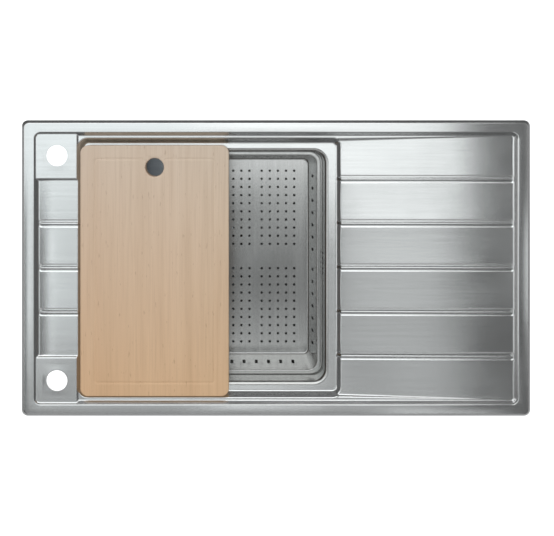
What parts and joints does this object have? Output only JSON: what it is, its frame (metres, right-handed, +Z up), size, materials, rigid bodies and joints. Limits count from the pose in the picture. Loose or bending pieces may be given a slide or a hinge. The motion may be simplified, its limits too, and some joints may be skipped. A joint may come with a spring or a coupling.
{
  "type": "workstation kitchen sink",
  "caption": "Inset steel workstation sink with ribbed drainer, stepped bowl, sliding wooden board, sliding perforated tray and basket waste.",
  "frame": {"origin": "the middle of the sink in plan, at the worktop surface that the rim rests on", "axes": "+X along the long side towards the drainer, +Y to the back, +Z up"},
  "size_m": [0.86, 0.5, 0.3105],
  "materials": {
    "pressed_steel": "satin brushed along the length",
    "bowl_steel": "satin",
    "tray_steel": "satin, floor brushed front to back",
    "waste_steel": "polished",
    "fixing_steel": "zinc plated",
    "beech": "oiled",
    "black_rubber": "matt",
    "deadening_pad": "matt",
    "white_plastic": "moulded",
    "grey_plastic": "moulded"
  },
  "bodies": {
    "sink": {"deck": "pressed_steel", "bowl": "bowl_steel", "tap_stiffeners": "fixing_steel", "rim_seal": "black_rubber", "clip_rails": "fixing_steel", "fixing_clips": "fixing_steel", "clip_screws": "fixing_steel", "bowl_base_pad": "deadening_pad", "bowl_side_pads": "deadening_pad", "drainer_pad": "deadening_pad", "waste_flange": "waste_steel", "waste_flange_seal": "black_rubber", "waste_body_seal": "black_rubber", "waste_body": "white_plastic", "waste_screw": "waste_steel", "overflow_seal": "black_rubber", "overflow_housing": "white_plastic", "overflow_studs": "fixing_steel", "overflow_nuts": "fixing_steel", "overflow_hose": "grey_plastic", "upper_hose_nut": "grey_plastic", "lower_hose_nut": "grey_plastic"},
    "board": {"cutting_board": "beech"},
    "tray": {"perforated_tray": "tray_steel"},
    "basket": {"strainer_basket": "waste_steel", "basket_stopper": "black_rubber", "basket_knob": "waste_steel"}
  },
  "joints": [
    {"name": "board_slide", "type": "slide", "parent": "sink", "child": "board", "axis": [1, 0, 0], "range_m": [0, 0.183]},
    {"name": "tray_slide", "type": "slide", "parent": "sink", "child": "tray", "axis": [-1, 0, 0], "range_m": [0, 0.164]},
    {"name": "basket_lift", "type": "slide", "parent": "sink", "child": "basket", "axis": [0, 0, 1], "range_m": [0, 0.06]}
  ]
}
